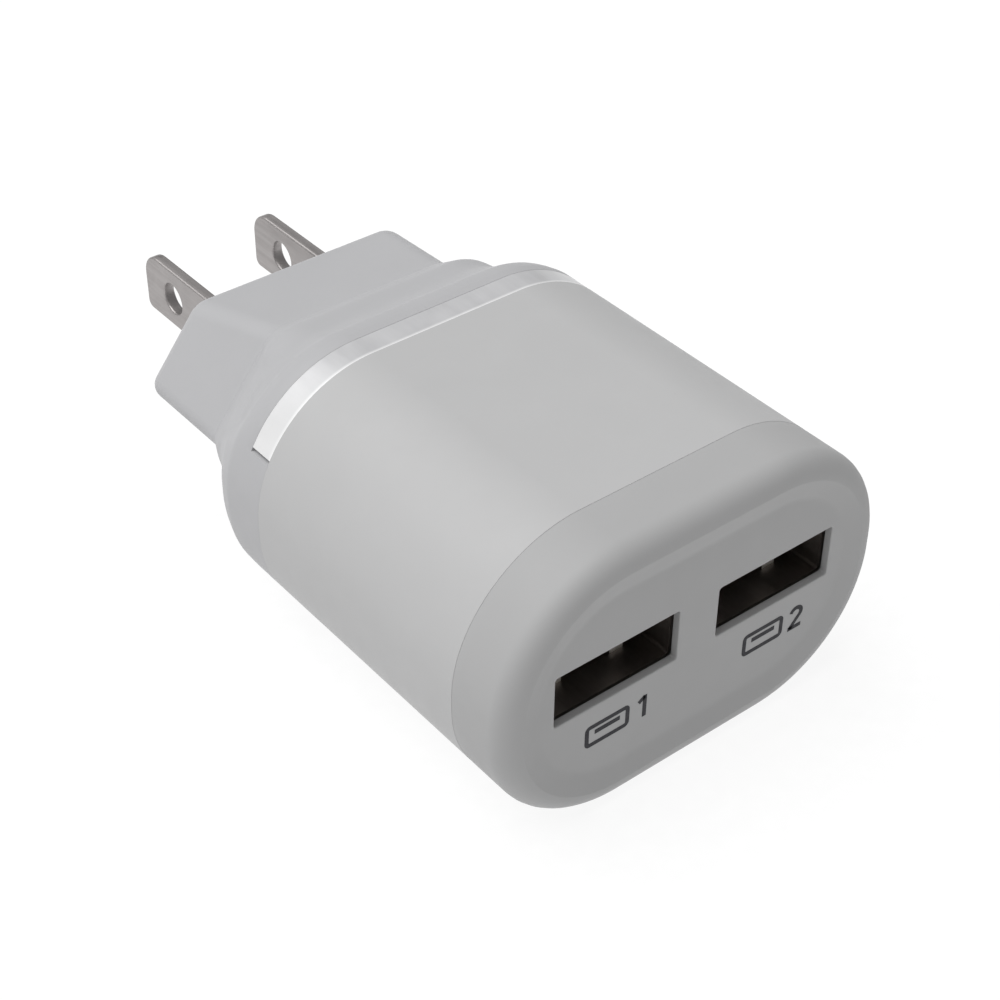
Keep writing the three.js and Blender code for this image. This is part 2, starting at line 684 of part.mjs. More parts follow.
function mainBoard() {
  const outline = new THREE.Shape();
  BOARD_OUTLINE.forEach(([half, start, end], i) => {
    if (i === 0) outline.moveTo(half, start);
    else outline.lineTo(half, start);
    outline.lineTo(half, end);
  });
  [...BOARD_OUTLINE].reverse().forEach(([half, start, end]) => {
    outline.lineTo(-half, end);
    outline.lineTo(-half, start);
  });
  outline.closePath();
  const sheet = new THREE.ExtrudeGeometry(outline, { depth: BOARD_THICKNESS, bevelEnabled: false });
  sheet.translate(0, 0, BOARD_BOTTOM);
  let board = toSolid(sheet);
  const hole = (x, y, radius) => pillar(x, y, BOARD_BOTTOM - 1, BOARD_TOP + 1, radius, 8);
  const pins = [
    ...CAPACITORS.flatMap(pinsAlongY),
    ...bobbinPins,
    ...pinsAlongX(RESISTOR),
    ...pinsAlongY(INDUCTOR),
    ...pinsAlongX(Y_CAPACITOR),
  ];
  for (const [x, y] of pins) board = board.subtract(hole(x, y, PIN_HOLE_RADIUS));
  for (const side of [-1, 1]) {
    board = board.subtract(hole(side * LEAD.x, LEAD.y, LEAD.radius + CLEARANCE));
  }
  for (const port of [1, 2]) {
    for (const place of LEAF_PLACES) {
      board = board.subtract(hole(portX(port) + place, TAIL_Y, PIN_HOLE_RADIUS));
    }
    for (const side of [-1, 1]) {
      const leg = portX(port) + side * (SOCKET_WIDTH / 2 - SOCKET_SHEET / 2);
      const middle = (FIXING_LEG.front + FIXING_LEG.rear) / 2;
      board = board.subtract(hole(leg, middle, FIXING_LEG.holeRadius));
    }
  }
  return board;
}

// A chip with a row of solder feet along each end, on top of the board or under it
function surfaceChip([x0, x1], [y0, y1], [z0, z1], onTop) {
  const { reach, inset, thickness } = CHIP_FOOT;
  const sole = onTop ? z0 - 0.1 : z1 + 0.1 - thickness;
  const ends = [[x0 - reach, x0 + 0.2], [x1 - 0.2, x1 + reach]].map((across) =>
    box(across, [y0 + inset, y1 - inset], [sole, sole + thickness]),
  );
  return joined([box([x0, x1], [y0, y1], [z0, z1]), ...ends]);
}

// ---------- assembly ----------

const finish = (color, roughness, metalness = 0) =>
  new THREE.MeshStandardMaterial({ color, roughness, metalness });

const casing = finish(0xd4d4d2, 0.45);
const frosted = finish(0xe9e9ea, 0.25);
const nickel = finish(0xa5a0a0, 0.35, 0.9);
const stampedSteel = finish(0xb8b8b8, 0.3, 0.9);
const gold = finish(0xcaa24a, 0.3, 0.9);
const tin = finish(0xc0c0c0, 0.35, 0.9);
const blackPlastic = finish(0x1c1c1c, 0.5);
const laminate = finish(0x2f6b3c, 0.6);
const ferrite = finish(0x3a3a3c, 0.7);
const tape = finish(0xd8b93c, 0.5);

const body = new THREE.Group();
body.position.set(0, -OVERALL_LENGTH / 2, BODY_HEIGHT / 2);

function addPiece(name, solid, material) {
  const mesh = new THREE.Mesh(toGeometry(solid), material);
  mesh.name = name;
  body.add(mesh);
}

addPiece("front_cap", frontCap(), casing);
addPiece("main_sleeve", mainSleeve(), casing);
addPiece("rear_shell", rearShell(), casing);
addPiece("light_guide", lightGuide(), frosted);

for (const [side, name] of [[-1, "left"], [1, "right"]]) {
  addPiece("blade_" + name, blade((side * BLADE_SPACING) / 2), nickel);
  addPiece("lead_wire_" + name, leadWire(side), finish(side < 0 ? 0x23252b : 0x8a2320, 0.5));
}
addPiece("blade_carrier", bladeCarrier(), finish(0xe4e0d6, 0.5));

addPiece("main_board", mainBoard(), laminate);
addPiece("fusible_resistor", fusibleResistor(), finish(0x6fa8b8, 0.5));
addPiece("bridge_rectifier", bridgeRectifier(), blackPlastic);
addPiece("filter_inductor", filterInductor(), finish(0x4a3a30, 0.6));
addPiece("y_capacitor", yCapacitor(), finish(0x2f5fa8, 0.5));
for (const item of CAPACITORS) {
  addPiece(item.name, capacitorCan(item), finish(item.color, 0.35));
}

addPiece("transformer_core", transformerCore(), ferrite);
addPiece("transformer_bobbin", transformerBobbin(), blackPlastic);
addPiece("transformer_winding", transformerWinding(), tape);

const controller = surfaceChip([-8, -4], [31, 36], [UNDERSIDE - 1.5, UNDERSIDE], false);
const rectifier = surfaceChip([-3.5, 3.5], [20.5, 26.5], [UNDERSIDE - 2.3, UNDERSIDE], false);
const coupler = surfaceChip([10.4, 14.4], [26.2, 28.8], [SEAT, SEAT + 2], true);
const led = surfaceChip([-0.8, 0.8], [33, 34.9], [SEAT, SEAT + INDICATOR_HEIGHT], true);
addPiece("switching_controller", controller, blackPlastic);
addPiece("output_rectifier", rectifier, blackPlastic);
addPiece("optocoupler", coupler, blackPlastic);
addPiece("indicator_led", led, finish(0xf2eec8, 0.3));

for (const port of [1, 2]) {
  const prefix = "usb_" + port + "_";
  addPiece(prefix + "shell", socketShell(port), stampedSteel);
  addPiece(prefix + "tongue", socketTongue(port), blackPlastic);
  LEAF_PLACES.forEach((place, i) => {
    addPiece(prefix + "contact_leaf_" + (i + 1), contactLeaf(port, place), gold);
    addPiece(prefix + "contact_tail_" + (i + 1), contactTail(port, place), tin);
  });
}

const charger = new THREE.Group();
charger.add(body);

export default charger;
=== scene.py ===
"""Looks for a dual-port wall charger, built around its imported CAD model.

Shapes are written in millimetres in the part's own terms: x across the two ports, y behind the
front rim, z from mid-height. to_frame() carries them into the row frame, in metres.
"""

import math

import bmesh
import bpy
import numpy as np
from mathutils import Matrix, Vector


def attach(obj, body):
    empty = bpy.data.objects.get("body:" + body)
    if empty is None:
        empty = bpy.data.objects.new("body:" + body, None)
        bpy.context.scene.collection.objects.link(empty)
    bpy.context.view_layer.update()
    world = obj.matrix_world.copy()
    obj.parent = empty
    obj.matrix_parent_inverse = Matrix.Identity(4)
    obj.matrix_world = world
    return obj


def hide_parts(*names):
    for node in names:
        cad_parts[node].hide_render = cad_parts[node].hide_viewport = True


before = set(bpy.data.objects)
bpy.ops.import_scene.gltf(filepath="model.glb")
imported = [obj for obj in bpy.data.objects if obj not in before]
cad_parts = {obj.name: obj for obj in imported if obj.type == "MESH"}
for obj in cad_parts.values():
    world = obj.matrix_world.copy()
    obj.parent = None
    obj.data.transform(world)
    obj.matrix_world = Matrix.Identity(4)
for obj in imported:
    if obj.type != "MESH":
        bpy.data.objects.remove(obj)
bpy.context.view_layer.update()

# ---------- sizes, in millimetres ----------

MM = 0.001
OVERALL_LENGTH = 72.8
BODY_WIDTH = 40.1
BODY_HEIGHT = 25.8
CORNER_RADIUS = 12.2
STRAIGHT_X = BODY_WIDTH / 2 - CORNER_RADIUS
STRAIGHT_Z = BODY_HEIGHT / 2 - CORNER_RADIUS
WALL = 1.8
SPIGOT_INSET = 2.1
CAVITY_INSET = 3.3
SPIGOT_LENGTH = 2.9
SEAM = 0.006
SEAM_DEPTH = 0.1
SEAM_EDGE = 0.012

FACE_Y = 0.5
FACE_THICKNESS = 2.0
PORT_LIP = 0.7
CAP_END = 6.3
SLEEVE_END = 32.7
BAND_END = 35.2
CAVITY_STEP_Y = 37.6
NECK_END = 45.8
HEAD_END = 57.0

FACET_ANGLE = math.radians(38.7)
HEAD_VERTEX = 16.1
HEAD_VERTEX_RADIUS = 1.5
HEAD_TOP_RADIUS = 2.6
HEAD_LEAST_RADIUS = 0.3
HEAD_TOP_AT_NECK = 8.9
HEAD_TOP_AT_END = 7.1
HEAD_END_RADIUS = 1.4
HEAD_END_WALL = 2.0

BLADE_SPACING = 12.7
BLADE_HEIGHT = 6.35
BLADE_THICKNESS = 1.2
BLADE_START = 49.0

PORT_SPACING = 16.8
PORT_WIDTH = 12.6
PORT_HEIGHT = 5.05
PORT_Z = 1.17
SOCKET_WIDTH = 13.2
SOCKET_HEIGHT = 5.8
SOCKET_SHEET = 0.35
SOCKET_START = 1.5
SOCKET_END = 17.5

GUIDE_INSET = 0.02
GUIDE_THICKNESS = 0.5
GUIDE_LOWEST_Z = 6.6
GUIDE_RINGS = 33
NOTCH_Z = 6.25
NOTCH_INSET = 0.65

SHARP_ANGLE = math.radians(32)
MERGE_DISTANCE = 1e-7

scene = bpy.context.scene


def to_frame(x, y, z):
    return Vector((x, y - OVERALL_LENGTH / 2, z + BODY_HEIGHT / 2)) * MM


# ---------- materials ----------


class Nodes:
    """A short way to write a node material around one principled shader."""

    def __init__(self, name, color, roughness, metallic=0.0, **sockets):
        self.material = bpy.data.materials.new(name)
        self.material.use_nodes = True
        self.tree = self.material.node_tree
        self.shader = self.tree.nodes["Principled BSDF"]
        self.place = self.add("ShaderNodeTexCoord").outputs["Object"]
        self.set("Base Color", (*color, 1.0))
        self.set("Roughness", roughness)
        self.set("Metallic", metallic)
        for socket, value in sockets.items():
            self.set(socket.replace("_", " "), value)
        self.color = color
        self.roughness = roughness

    def set(self, socket, value):
        self.shader.inputs[socket].default_value = value

    def add(self, kind, **values):
        node = self.tree.nodes.new(kind)
        for key, value in values.items():
            setattr(node, key, value)
        return node

    def link(self, source, target):
        self.tree.links.new(source, target)

    def stretched(self, scale):
        mapping = self.add("ShaderNodeMapping")
        mapping.inputs["Scale"].default_value = scale
        self.link(self.place, mapping.inputs["Vector"])
        return mapping.outputs["Vector"]

    def noise(self, size, detail=3.0, stretch=(1, 1, 1), distortion=0.0):
        """Noise whose features are about size millimetres across, as a factor."""
        node = self.add("ShaderNodeTexNoise")
        node.inputs["Scale"].default_value = 1 / (size * MM)
        node.inputs["Detail"].default_value = detail
        node.inputs["Distortion"].default_value = distortion
        self.link(self.stretched(stretch), node.inputs["Vector"])
        return node.outputs["Fac"]

    def along(self, axis):
        """The place along one axis, in metres."""
        split = self.add("ShaderNodeSeparateXYZ")
        self.link(self.place, split.inputs["Vector"])
        return split.outputs[axis]

    def distance_from_middle(self):
        size = self.add("ShaderNodeMath", operation="ABSOLUTE")
        self.link(self.along("X"), size.inputs[0])
        return size.outputs["Value"]

    def spread(self, factor, low, high, start=0.3, end=0.7):
        """The factor's middle range, mapped to low..high."""
        node = self.add("ShaderNodeMapRange")
        node.inputs["From Min"].default_value = start
        node.inputs["From Max"].default_value = end
        node.inputs["To Min"].default_value = low
        node.inputs["To Max"].default_value = high
        self.link(factor, node.inputs["Value"])
        return node.outputs["Result"]

    def mixed(self, factor, first, second):
        """A colour between two, each a tuple or another colour output."""
        node = self.add("ShaderNodeMix", data_type="RGBA")
        self.link(factor, node.inputs["Factor"])
        for socket, value in ((node.inputs[6], first), (node.inputs[7], second)):
            if isinstance(value, tuple):
                socket.default_value = (*value, 1.0)
            else:
                self.link(value, socket)
        return node.outputs[2]

    def paint(self, output):
        self.link(output, self.shader.inputs["Base Color"])

    def vary_roughness(self, size, amount, **noise):
        factor = self.noise(size, **noise)
        low, high = self.roughness - amount, self.roughness + amount
        self.link(self.spread(factor, low, high), self.shader.inputs["Roughness"])

    def relief(self, *layers):
        """Bumps one over another, each a factor with its height in millimetres."""
        normal = None
        for factor, height in layers:
            node = self.add("ShaderNodeBump")
            node.inputs["Strength"].default_value = 1.0
            node.inputs["Distance"].default_value = height * MM
            self.link(factor, node.inputs["Height"])
            if normal is not None:
                self.link(normal, node.inputs["Normal"])
            normal = node.outputs["Normal"]
        self.link(normal, self.shader.inputs["Normal"])


def shade(color, factor):
    return tuple(min(channel * factor, 1.0) for channel in color)


def moulded(name, color, roughness, grain=0.16, depth=0.004, mottle=0.03, **sockets):
    """Satin moulded plastic: spark-eroded grain, faint flow mottling, polished patches."""
    nodes = Nodes(name, color, roughness, **sockets)
    mottling = nodes.noise(7.0, detail=4.0, distortion=0.6)
    specks = nodes.noise(0.9, detail=2.0)
    base = nodes.mixed(
        nodes.spread(mottling, 0, 1), shade(color, 1 - mottle), shade(color, 1 + mottle))
    fine = nodes.spread(specks, 0, 0.35, start=0.55, end=0.75)
    nodes.paint(nodes.mixed(fine, base, shade(color, 1 - 1.2 * mottle)))
    nodes.vary_roughness(2.4, 0.05, detail=4.0)
    nodes.relief((nodes.noise(grain, detail=2.0), depth), (nodes.noise(3.5), depth * 2))
    return nodes.material


def drawn_metal(name, color, roughness, along=(1, 1, 1), depth=0.003, tarnish=0.12):
    """Metal with fine lines along one direction and a slightly uneven tone."""
    nodes = Nodes(name, color, roughness, metallic=1.0)
    lines = nodes.noise(0.22, detail=4.0, stretch=along)
    blotches = nodes.noise(2.6, detail=4.0, distortion=0.8)
    toned = nodes.mixed(nodes.spread(blotches, 0, 1), shade(color, 1 - tarnish), color)
    nodes.paint(nodes.mixed(nodes.spread(lines, 0, 0.5), toned, shade(color, 1.12)))
    nodes.vary_roughness(0.5, 0.07, stretch=along)
    nodes.relief((lines, depth), (blotches, depth))
    return nodes.material


def pearl():
    """Frosted light strip with a pearl sheen; painted highlights pale it towards its ends and
    front edge.
    """
    color = (0.5, 0.5, 0.51)
    nodes = Nodes("pearl_strip", color, 0.45, metallic=0.1, Coat_Weight=0.3, Coat_Roughness=0.3)
    clouds = nodes.noise(4.0, detail=2.0)
    lines = nodes.noise(0.9, detail=2.0, stretch=(1, 0.12, 1))
    base = nodes.mixed(nodes.spread(clouds, 0, 1), shade(color, 0.94), shade(color, 1.06))
    streaked = nodes.mixed(nodes.spread(lines, 0, 0.2), base, (0.7, 0.7, 0.71))
    # Painted highlight: the colour turns paler towards both ends of the strip.
    ends = nodes.spread(nodes.distance_from_middle(), 0, 0.75, start=11 * MM, end=18 * MM)
    pale = nodes.mixed(ends, streaked, (0.86, 0.86, 0.86))
    # Painted highlight: a paler line along the front edge, next to the sleeve.
    front = (SLEEVE_END - OVERALL_LENGTH / 2) * MM
    edge = nodes.spread(nodes.along("Y"), 0.8, 0, start=front, end=front + 0.35 * MM)
    nodes.paint(nodes.mixed(edge, pale, (0.92, 0.92, 0.92)))
    nodes.vary_roughness(0.8, 0.08, stretch=(1, 0.2, 1))
    nodes.relief((lines, 0.004))
    return nodes.material


def laminate():
    """Green solder mask over copper tracks on a glass-cloth board."""
    nodes = Nodes("board_laminate", (0.02, 0.12, 0.05), 0.35, Coat_Weight=0.3, Coat_Roughness=0.2)
    tracks = nodes.add("ShaderNodeTexBrick", offset=0.5)
    tracks.inputs["Scale"].default_value = 1 / (6 * MM)
    tracks.inputs["Mortar Size"].default_value = 0.05
    tracks.inputs["Color1"].default_value = (0.02, 0.13, 0.05, 1)
    tracks.inputs["Color2"].default_value = (0.03, 0.17, 0.07, 1)
    tracks.inputs["Mortar"].default_value = (0.012, 0.07, 0.03, 1)
    nodes.link(nodes.place, tracks.inputs["Vector"])
    cloth = nodes.noise(0.4, detail=2.0)
    dulled = nodes.mixed(nodes.spread(cloth, 0, 0.4), tracks.outputs["Color"], (0.03, 0.11, 0.05))
    nodes.paint(dulled)
    nodes.vary_roughness(1.5, 0.08)
    nodes.relief((tracks.outputs["Fac"], 0.03), (cloth, 0.004))
    return nodes.material


def sleeved_can(name, color):
    """Shrink-sleeved capacitor can: glossy film with a pale polarity stripe."""
    nodes = Nodes(name, color, 0.28, Coat_Weight=0.4, Coat_Roughness=0.15)
    wave = nodes.add("ShaderNodeTexWave", wave_type="BANDS", bands_direction="X")
    wave.inputs["Scale"].default_value = 1 / (60 * MM)
    wave.inputs["Distortion"].default_value = 0.2
    nodes.link(nodes.place, wave.inputs["Vector"])
    film = nodes.noise(1.8, detail=3.0)
    base = nodes.mixed(nodes.spread(film, 0, 1), shade(color, 0.8), shade(color, 1.2))
    stripe = nodes.spread(wave.outputs["Fac"], 0, 0.8, start=0.93, end=0.96)
    nodes.paint(nodes.mixed(stripe, base, (0.55, 0.58, 0.6)))
    nodes.vary_roughness(1.2, 0.06)
    nodes.relief((film, 0.02))
    return nodes.material


def wound_tape():
    """Yellow polyester tape over windings, with the wires' ridges showing through and painted
    shade between them.
    """
    color = (0.62, 0.42, 0.05)
    nodes = Nodes("winding_tape", color, 0.3, Coat_Weight=0.5, Coat_Roughness=0.1)
    ridges = nodes.add("ShaderNodeTexWave", wave_type="BANDS", bands_direction="Z")
    ridges.inputs["Scale"].default_value = 1 / (6 * MM)
    ridges.inputs["Distortion"].default_value = 0.6
    nodes.link(nodes.place, ridges.inputs["Vector"])
    wrinkles = nodes.noise(1.2, detail=4.0, distortion=1.0)
    base = nodes.mixed(nodes.spread(wrinkles, 0, 1), shade(color, 0.8), shade(color, 1.15))
    # Painted shade: the tape is darker in the valleys between the ridges.
    nodes.paint(nodes.mixed(ridges.outputs["Fac"], shade(color, 0.75), base))
    nodes.vary_roughness(1.0, 0.08)
    nodes.relief((ridges.outputs["Fac"], 0.05), (wrinkles, 0.03))
    return nodes.material


def sintered():
    """Ferrite: dark, dry and slightly porous."""
    color = (0.045, 0.044, 0.047)
    nodes = Nodes("ferrite_core", color, 0.6)
    pores = nodes.noise(0.25, detail=5.0)
    nodes.paint(nodes.mixed(nodes.spread(pores, 0, 1), shade(color, 0.7), shade(color, 1.5)))
    nodes.vary_roughness(0.8, 0.12)
    nodes.relief((pores, 0.03))
    return nodes.material


def lens():
    nodes = Nodes("indicator_lens", (0.82, 0.78, 0.6), 0.15, Coat_Weight=0.6, Coat_Roughness=0.1)
    haze = nodes.noise(0.5, detail=2.0)
    nodes.paint(nodes.mixed(nodes.spread(haze, 0, 1), (0.7, 0.66, 0.45), (0.88, 0.85, 0.7)))
    nodes.vary_roughness(0.6, 0.05)
    nodes.relief((haze, 0.01))
    return nodes.material


def ink():
    """Pad-printed marking: thin, matt and a little uneven."""
    color = (0.012, 0.012, 0.015)
    nodes = Nodes("printed_ink", color, 0.5, Specular_IOR_Level=0.2)
    cover = nodes.noise(0.12, detail=3.0)
    nodes.paint(nodes.mixed(nodes.spread(cover, 0, 1), color, shade(color, 2.2)))
    nodes.vary_roughness(0.3, 0.08)
    nodes.relief((cover, 0.003))
    return nodes.material


ALONG_Y = (1, 0.04, 1)
ALONG_Z = (1, 1, 0.05)
CASING_COLOR = (0.465, 0.465, 0.467)
REAR_COLOR = (0.435, 0.435, 0.445)
materials = {
    "casing": moulded("casing_plastic", CASING_COLOR, 0.52, mottle=0.01,
                      Specular_IOR_Level=0.3),
    "rear_casing": moulded("rear_plastic", REAR_COLOR, 0.52, mottle=0.01,
                          Specular_IOR_Level=0.3),
    "cap_casing": moulded("cap_plastic", shade(CASING_COLOR, 0.86), 0.55, mottle=0.01,
                          Specular_IOR_Level=0.2),
    "light_guide": pearl(),
    "blade_metal": drawn_metal("blade_nickel", (0.4, 0.38, 0.375), 0.5, ALONG_Y, depth=0.0015),
    "carrier_plastic": moulded("carrier_plastic", (0.62, 0.6, 0.54), 0.5),
    "wire_black": moulded("wire_black", (0.02, 0.02, 0.025), 0.45, mottle=0.15),
    "wire_red": moulded("wire_red", (0.32, 0.02, 0.02), 0.45, mottle=0.1),
    "board_laminate": laminate(),
    "resistor_body": moulded("resistor_coating", (0.16, 0.36, 0.42), 0.45, grain=0.5, depth=0.02),
    "black_moulding": moulded("black_moulding", (0.018, 0.018, 0.02), 0.5, mottle=0.2),
    "inductor_body": moulded("inductor_lacquer", (0.07, 0.04, 0.03), 0.4, mottle=0.2),
    "blue_coating": moulded("blue_epoxy", (0.03, 0.12, 0.38), 0.3, grain=0.8, depth=0.03),
    "input_can": sleeved_can("input_can_sleeve", (0.015, 0.022, 0.055)),
    "output_can": sleeved_can("output_can_sleeve", (0.02, 0.1, 0.06)),
    "ferrite": sintered(),
    "bobbin_plastic": moulded("bobbin_plastic", (0.015, 0.015, 0.017), 0.4, mottle=0.2),
    "winding_tape": wound_tape(),
    "indicator_lens": lens(),
    # Painted shade: the can's steel is darkened to stand for the shade inside the ports.
    "socket_steel": drawn_metal("socket_steel", (0.3, 0.27, 0.25), 0.4, ALONG_Y, depth=0.001),
    "contact_gold": drawn_metal("contact_gold", (0.75, 0.5, 0.16), 0.3, ALONG_Y, tarnish=0.06),
    "contact_tin": drawn_metal("contact_tin", (0.6, 0.6, 0.58), 0.35, ALONG_Z),
}
ink_material = ink()
# Painted highlight: the springs, part of the same steel can, get a far paler copy of its metal to
# show as glints.
painted_glint_spring_material = drawn_metal("spring_nickel_painted_glint", (0.95, 0.93, 0.88), 0.4, ALONG_Y, depth=0.001)

# ---------- mesh helpers ----------


def add_ring(bm, points):
    return [bm.verts.new(to_frame(*p)) for p in points]


def add_band(bm, first, second):
    """Faces between two closed rings of the same length."""
    for i in range(len(first)):
        j = (i + 1) % len(first)
        bm.faces.new((first[i], first[j], second[j], second[i]))


def add_strip(bm, rings, closed=False):
    pairs = zip(rings, rings[1:] + rings[:1]) if closed else zip(rings, rings[1:])
    for first, second in pairs:
        add_band(bm, first, second)


def distinct(ring):
    """The ring without vertices that sit on the one before them."""
    return [v for i, v in enumerate(ring) if (v.co - ring[i - 1].co).length > MERGE_DISTANCE]


def add_plate(bm, *rings):
    """A flat face inside the first ring, with the other rings as its holes."""
    edges = []
    for ring in map(distinct, rings):
        for i in range(len(ring)):
            pair = (ring[i], ring[(i + 1) % len(ring)])
            edges.append(bm.edges.get(pair) or bm.edges.new(pair))
    bmesh.ops.triangle_fill(bm, edges=edges, use_beauty=True, use_dissolve=False)


def filleted(corners, closed=False, steps=5):
    """A line through (u, v, radius) corners, each rounded by its radius."""
    corners = [(Vector((u, v)), radius) for u, v, radius in corners]
    points = []
    for i, (corner, radius) in enumerate(corners):
        ends = not closed and i in (0, len(corners) - 1)
        before, after = corners[i - 1][0], corners[(i + 1) % len(corners)][0]
        if ends or radius <= 0:
            points.append(corner)
            continue
        back, ahead = (before - corner).normalized(), (after - corner).normalized()
        half = back.angle(ahead) / 2
        reach = radius / math.tan(half)
        centre = corner + (back + ahead).normalized() * (radius / math.sin(half))
        first, last = corner + back * reach - centre, corner + ahead * reach - centre
        sweep = first.angle_signed(last)
        for k in range(steps + 1):
            turn = -sweep * k / steps
            cos, sin = math.cos(turn), math.sin(turn)
            points.append(centre + Vector((
                first.x * cos - first.y * sin, first.x * sin + first.y * cos)))
    return [(p.x, p.y) for p in points]


def rounded_box(bm, low, high, radius=0.1):
    """A closed box with rounded edges, in part terms."""
    size = [b - a for a, b in zip(low, high)]
    middle = [(a + b) / 2 for a, b in zip(low, high)]
    made = bmesh.ops.create_cube(bm, size=1.0)
    verts = made["verts"]
    for v in verts:
        v.co = to_frame(*[m + c * s for m, c, s in zip(middle, v.co, size)])
    edges = list({e for v in verts for e in v.link_edges})
    bmesh.ops.bevel(bm, geom=edges, offset=radius * MM, segments=2, profile=0.5,
                    affect="EDGES", clamp_overlap=True)


def finish_piece(name, bm, slot, replaced=(), body="charger", material=None):
    """Makes the piece, shades it, and ties it to the frame."""
    bmesh.ops.remove_doubles(bm, verts=bm.verts, dist=MERGE_DISTANCE)
    bmesh.ops.recalc_face_normals(bm, faces=bm.faces)
    mesh = bpy.data.meshes.new(name)
    bm.to_mesh(mesh)
    bm.free()
    mesh.shade_smooth()
    mesh.set_sharp_from_angle(angle=SHARP_ANGLE)
    mesh.materials.append(material or materials[slot])
    piece = bpy.data.objects.new(name, mesh)
    scene.collection.objects.link(piece)
    even = piece.modifiers.new("even_shading", "WEIGHTED_NORMAL")
    even.keep_sharp = True
    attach(piece, body)
    if replaced:
        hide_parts(*replaced)
    return piece


# ---------- cross-sections ----------

# A section is six numbers: the x, z and radius of a side corner, then of a top corner.
SIDE_STEPS = 12
NOTCH_STEPS = 8
TOP_STEPS = 16
NECK_STEPS = 5
HEAD_STEPS = 8
NOTCH_ANGLE = math.asin((NOTCH_Z - STRAIGHT_Z) / CORNER_RADIUS)
BLEND_ANGLE = math.radians(16)


def body_section(inset=0.0):
    corner = (STRAIGHT_X, STRAIGHT_Z, CORNER_RADIUS - inset)
    return np.array(corner + corner)


def head_section(top, inset=0.0):
    normal_x, normal_z = math.cos(FACET_ANGLE), math.sin(FACET_ANGLE)
    side_radius = max(HEAD_VERTEX_RADIUS - inset, HEAD_LEAST_RADIUS)
    top_radius = max(HEAD_TOP_RADIUS - inset, HEAD_LEAST_RADIUS)
    facet = normal_x * (HEAD_VERTEX - HEAD_VERTEX_RADIUS) + HEAD_VERTEX_RADIUS - inset
    top_z = top - inset - top_radius
    top_x = (facet - top_radius - normal_z * top_z) / normal_x
    return np.array([(facet - side_radius) / normal_x, 0, side_radius, top_x, top_z, top_radius])


def quarter(low, high, cut_low, cut_high):
    """Points from the side to the top; below the cut they follow one section, above it another."""
    spans = [
        (low[:3], 0, cut_low, NOTCH_STEPS),
        (high[:3], cut_high, FACET_ANGLE, SIDE_STEPS - NOTCH_STEPS),
        (high[3:], FACET_ANGLE, math.pi / 2, TOP_STEPS),
    ]
    points = []
    for (x, z, radius), start, end, steps in spans:
        for angle in np.linspace(start, end, steps + 1):
            points.append((x + radius * math.cos(angle), z + radius * math.sin(angle)))
    return np.array(points)


def plain_quarter(section):
    return quarter(section, section, NOTCH_ANGLE, NOTCH_ANGLE)


def mirrored(raised, plain, y):
    """A closed ring at y from the quarter above mid-height and the one below it."""
    right = [(x, y, z) for x, z in raised]
    left = [(-x, y, z) for x, z in raised[::-1]]
    lower_left = [(-x, y, -z) for x, z in plain]
    lower_right = [(x, y, -z) for x, z in plain[::-1]]
    return right + left + lower_left + lower_right


def outline(section, y, upper=None):
    """A closed ring at y. A second section, if given, holds above the notch plane."""
    plain = plain_quarter(section)
    if upper is None:
        return mirrored(plain, plain, y)
    cuts = [math.asin((NOTCH_Z - s[1]) / s[2]) for s in (section, upper)]
    return mirrored(quarter(section, upper, *cuts), plain, y)


def blended(first, second, sides, top):
    """A quarter between two sections, by one share at the sides and another on top."""
    angles = np.concatenate([
        np.linspace(0, NOTCH_ANGLE, NOTCH_STEPS + 1),
        np.linspace(NOTCH_ANGLE, FACET_ANGLE, SIDE_STEPS - NOTCH_STEPS + 1),
        np.linspace(FACET_ANGLE, math.pi / 2, TOP_STEPS + 1),
    ])
    turn = np.clip((angles - FACET_ANGLE) / (2 * BLEND_ANGLE) + 0.5, 0, 1)
    share = sides + (top - sides) * turn ** 2 * (3 - 2 * turn)
    share = share[:, None]
    return plain_quarter(first) * (1 - share) + plain_quarter(second) * share


def smoothed(stations, steps):
    """Stations joined by cubic curves that pass through each of them."""
    ys = np.array([y for _, y in stations])
    rows = np.array([points for points, _ in stations])
    slopes = np.gradient(rows, ys, axis=0)
    made = []
    for i in range(len(ys) - 1):
        gap = ys[i + 1] - ys[i]
        for t in np.arange(steps) / steps:
            start = (1 + 2 * t) * (1 - t) ** 2 * rows[i] + t * (1 - t) ** 2 * gap * slopes[i]
            end = t * t * (3 - 2 * t) * rows[i + 1] - t * t * (1 - t) * gap * slopes[i + 1]
            made.append((start + end, ys[i] + t * gap))
    return made + [stations[-1]]


def swept(bm, profile):
    """Rings of the body section at each (inset, y) of a profile."""
    return [add_ring(bm, outline(body_section(inset), y)) for inset, y in profile]


# ---------- front cap ----------


def rectangle(centre, half_width, half_height, radius, y, steps=4):
    """A rounded rectangle in the x-z plane."""
    corners = [(1, 1), (-1, 1), (-1, -1), (1, -1)]
    points = []
    for k, (sx, sz) in enumerate(corners):
        for i in range(steps + 1):
            angle = math.pi / 2 * (k + i / steps)
            x = centre[0] + sx * (half_width - radius) + radius * math.cos(angle)
            z = centre[1] + sz * (half_height - radius) + radius * math.sin(angle)
            points.append((x, y, z))
    return points


def port_rings(bm, side):
    """The walls of one opening, from the face's front to its back."""
    centre = (side * PORT_SPACING / 2, PORT_Z)
    edge = 0.12
    seat = 0.6
    corner_radius = 0.25
    lip_end = FACE_Y + PORT_LIP
    path = filleted([
        (edge * 1.5, FACE_Y, 0),
        (0, FACE_Y, edge),
        (0, lip_end, 0),
        (seat, lip_end, 0),
        (seat, FACE_Y + FACE_THICKNESS, 0),
    ], steps=3)
    rings = []
    for growth, y in path:
        rings.append(add_ring(bm, rectangle(
            centre, PORT_WIDTH / 2 + growth, PORT_HEIGHT / 2 + growth,
            corner_radius + growth, y)))
    add_strip(bm, rings)
    return rings


